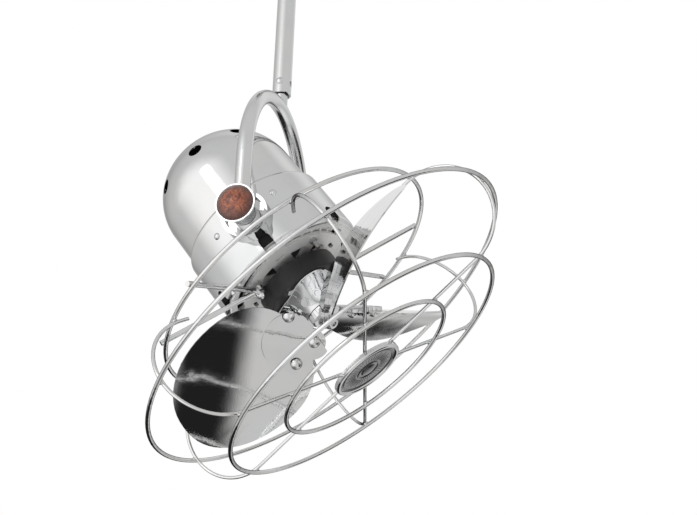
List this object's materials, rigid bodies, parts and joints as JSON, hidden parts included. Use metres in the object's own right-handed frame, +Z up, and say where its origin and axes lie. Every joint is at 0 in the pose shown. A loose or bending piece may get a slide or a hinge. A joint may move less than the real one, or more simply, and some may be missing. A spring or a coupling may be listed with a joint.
{
  "type": "directional ceiling fan",
  "caption": "Chrome caged fan head on a bent-bar yoke under a downrod, tilting between two wooden clamp knobs, with broad pitched blades inside a round wire guard.",
  "frame": {"origin": "centre of the ceiling plate on its upper face, which meets the ceiling", "axes": "+Z up to the ceiling, X along the tilt axis, the head blows towards -Y and down at rest"},
  "size_m": [0.485, 0.413, 0.7373],
  "materials": {
    "chrome": "polished chrome plate on steel",
    "blade_chrome": "polished sheet metal, faintly wavy from rolling",
    "zinc_steel": "zinc-plated steel",
    "lamination": "varnished steel laminations",
    "copper_winding": "varnished copper wire",
    "black_rubber": "moulded black rubber, satin",
    "fibre": "dark fibre",
    "black_plastic": "black enamel",
    "burl_wood": "reddish speckled wood under clear lacquer"
  },
  "bodies": {
    "hanger": {"ceiling_plate": "zinc_steel", "rod_socket": "zinc_steel", "canopy": "chrome", "canopy_screws": "chrome", "canopy_collar": "chrome", "downrod": "chrome", "cross_bolt": "zinc_steel", "rod_plug": "zinc_steel", "stem_set_screw": "chrome", "yoke": "chrome"},
    "fan_head": {"rear_shell": "chrome", "front_band": "chrome", "pivot_bosses": "chrome", "pivot_studs": "zinc_steel", "pivot_washers": "fibre", "cradle_ring": "zinc_steel", "band_rivets": "chrome", "stator_core": "lamination", "stator_windings": "copper_winding", "front_spider": "zinc_steel", "rear_spider": "zinc_steel", "motor_screws": "zinc_steel", "bearings": "zinc_steel", "run_capacitor": "black_plastic", "guard_ring_wide": "chrome", "guard_ring_front": "chrome", "guard_ring_inner": "chrome", "guard_ring_rear": "chrome", "guard_spoke_1": "chrome", "guard_spoke_2": "chrome", "guard_spoke_3": "chrome", "guard_spoke_4": "chrome", "guard_spoke_5": "chrome", "guard_spoke_6": "chrome", "guard_strut_1": "chrome", "guard_strut_2": "chrome", "strut_nuts": "chrome", "stud_nuts": "zinc_steel", "medallion": "chrome", "medallion_inlay": "black_plastic"},
    "rotor": {"motor_shaft": "zinc_steel", "rotor_core": "lamination", "flywheel": "black_rubber", "flywheel_screws": "chrome", "blade_hub": "chrome", "blade_iron_1": "chrome", "blade_iron_2": "chrome", "blade_iron_3": "chrome", "blade_1": "blade_chrome", "blade_2": "blade_chrome", "blade_3": "blade_chrome", "blade_clamps": "chrome", "blade_rivets": "chrome", "hub_nut": "chrome"},
    "left_knob": {"knob_cup_left": "chrome", "knob_cap_left": "burl_wood"},
    "right_knob": {"knob_cup_right": "chrome", "knob_cap_right": "burl_wood"}
  },
  "joints": [
    {"name": "head_tilt", "type": "hinge", "parent": "hanger", "child": "fan_head", "pos_m": [0, 0, -0.472], "axis": [1, 0, 0], "range_deg": [-52, 128]},
    {"name": "rotor_spin", "type": "hinge", "parent": "fan_head", "child": "rotor", "pos_m": [0, 0, -0.472], "axis": [0, -0.6157, -0.788], "continuous": true},
    {"name": "left_knob_turn", "type": "hinge", "parent": "fan_head", "child": "left_knob", "pos_m": [0, 0, -0.472], "axis": [-1, 0, 0], "continuous": true},
    {"name": "right_knob_turn", "type": "hinge", "parent": "fan_head", "child": "right_knob", "pos_m": [0, 0, -0.472], "axis": [1, 0, 0], "continuous": true}
  ]
}
